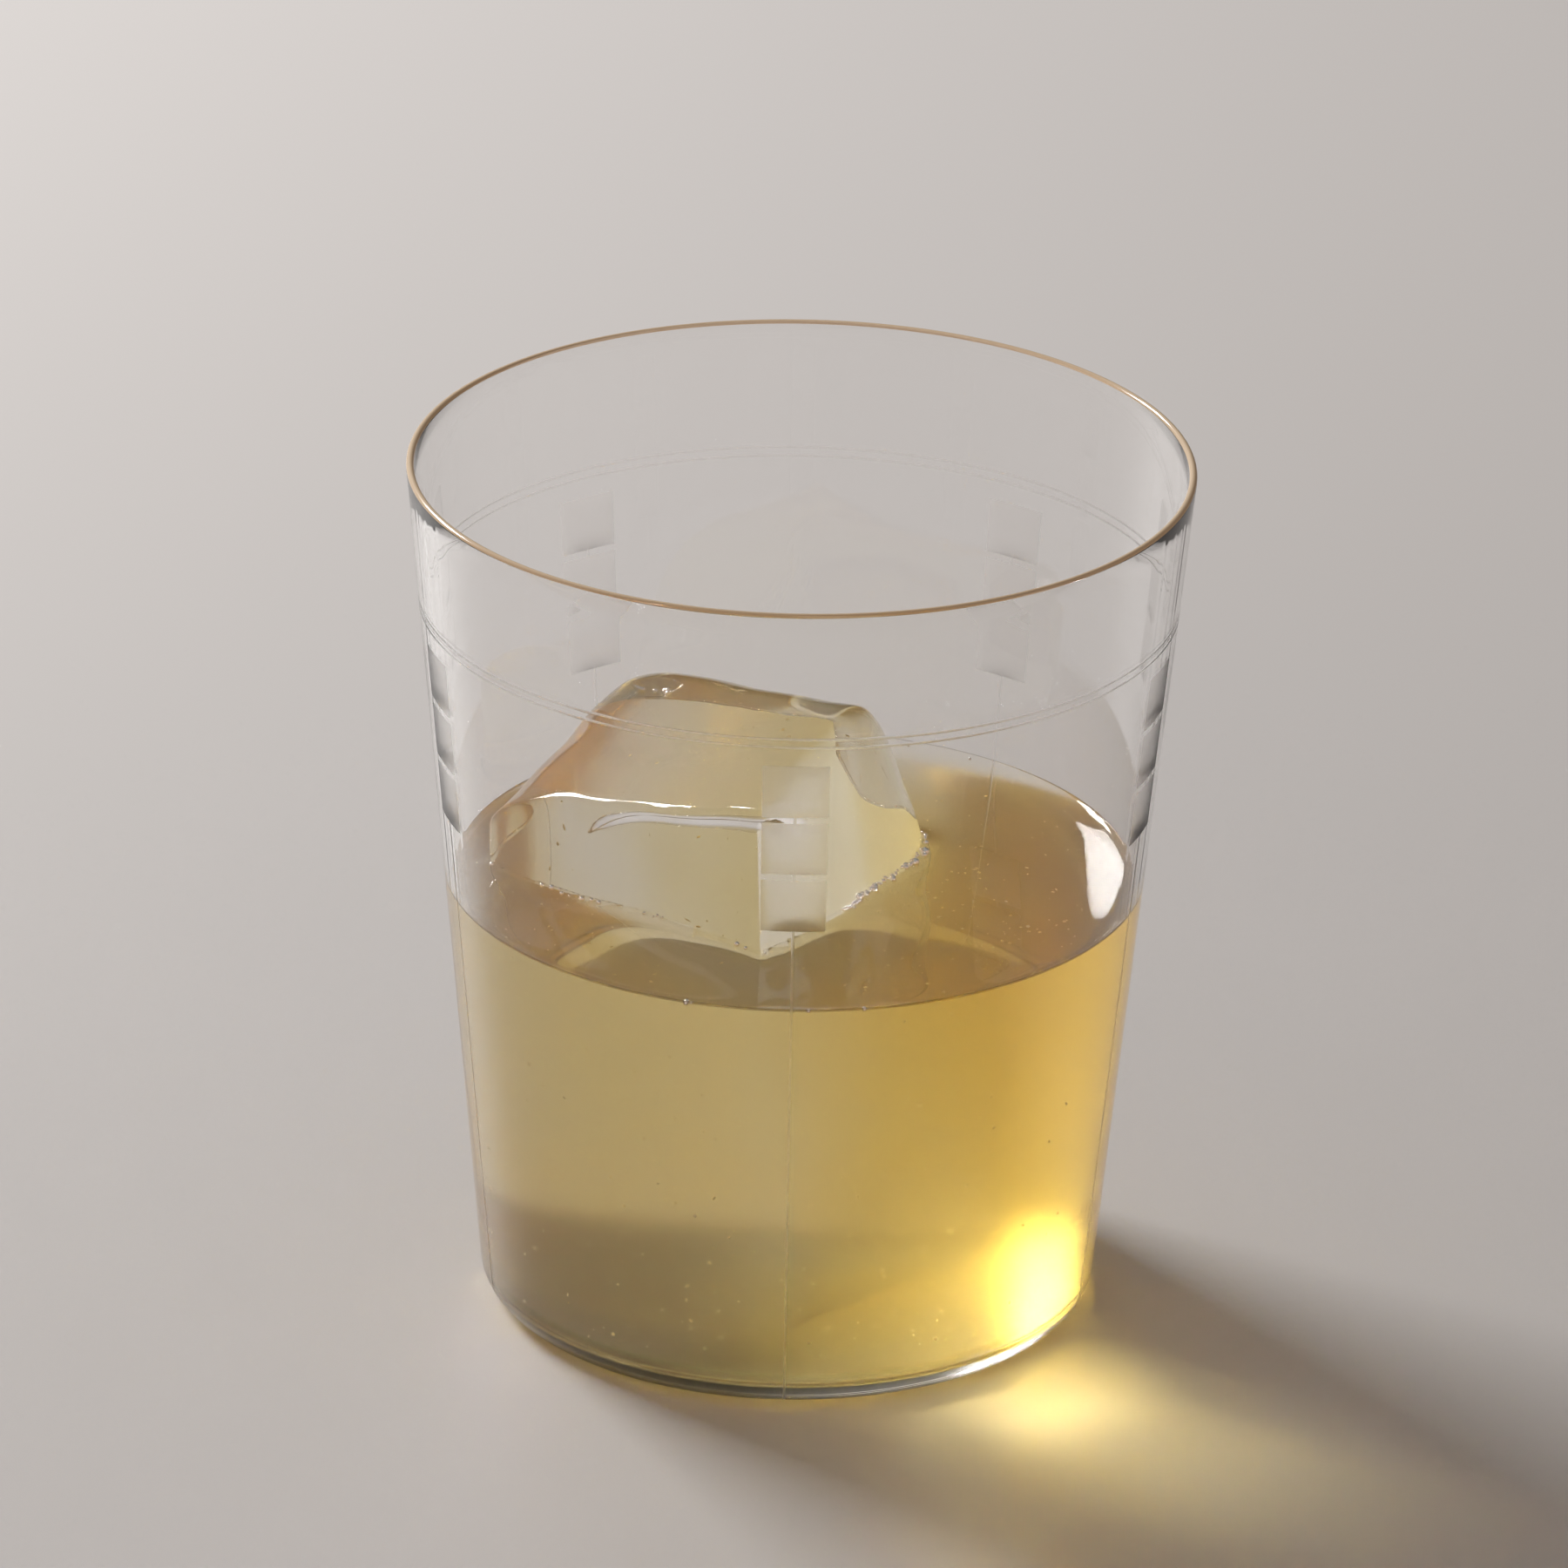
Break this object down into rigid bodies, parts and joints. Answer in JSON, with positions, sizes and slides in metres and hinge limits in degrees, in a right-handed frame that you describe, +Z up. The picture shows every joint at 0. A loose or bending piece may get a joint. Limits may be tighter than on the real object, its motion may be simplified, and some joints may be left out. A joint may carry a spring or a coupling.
{
  "type": "fish house punch in a tumbler",
  "caption": "Short tapered tumbler, under half full of pale gold punch round a tall block of clear ice, with fine cut rings and columns of small cut squares on its thin wall.",
  "frame": {"origin": "centre of the tumbler's foot, on the surface that it stands on", "axes": "+Z up along the tumbler's axis, -Y towards the viewer, +X to the viewer's right"},
  "size_m": [0.088, 0.088, 0.1],
  "materials": {
    "clear_glass": "polished thin blown glass, fine matt cut lines and squares outside",
    "punch": "clear liquid with a slight haze",
    "clear_ice": "wet, melted smooth"
  },
  "bodies": {
    "root": {"tumbler": "clear_glass", "punch": "punch", "ice_block": "clear_ice"}
  },
  "joints": []
}
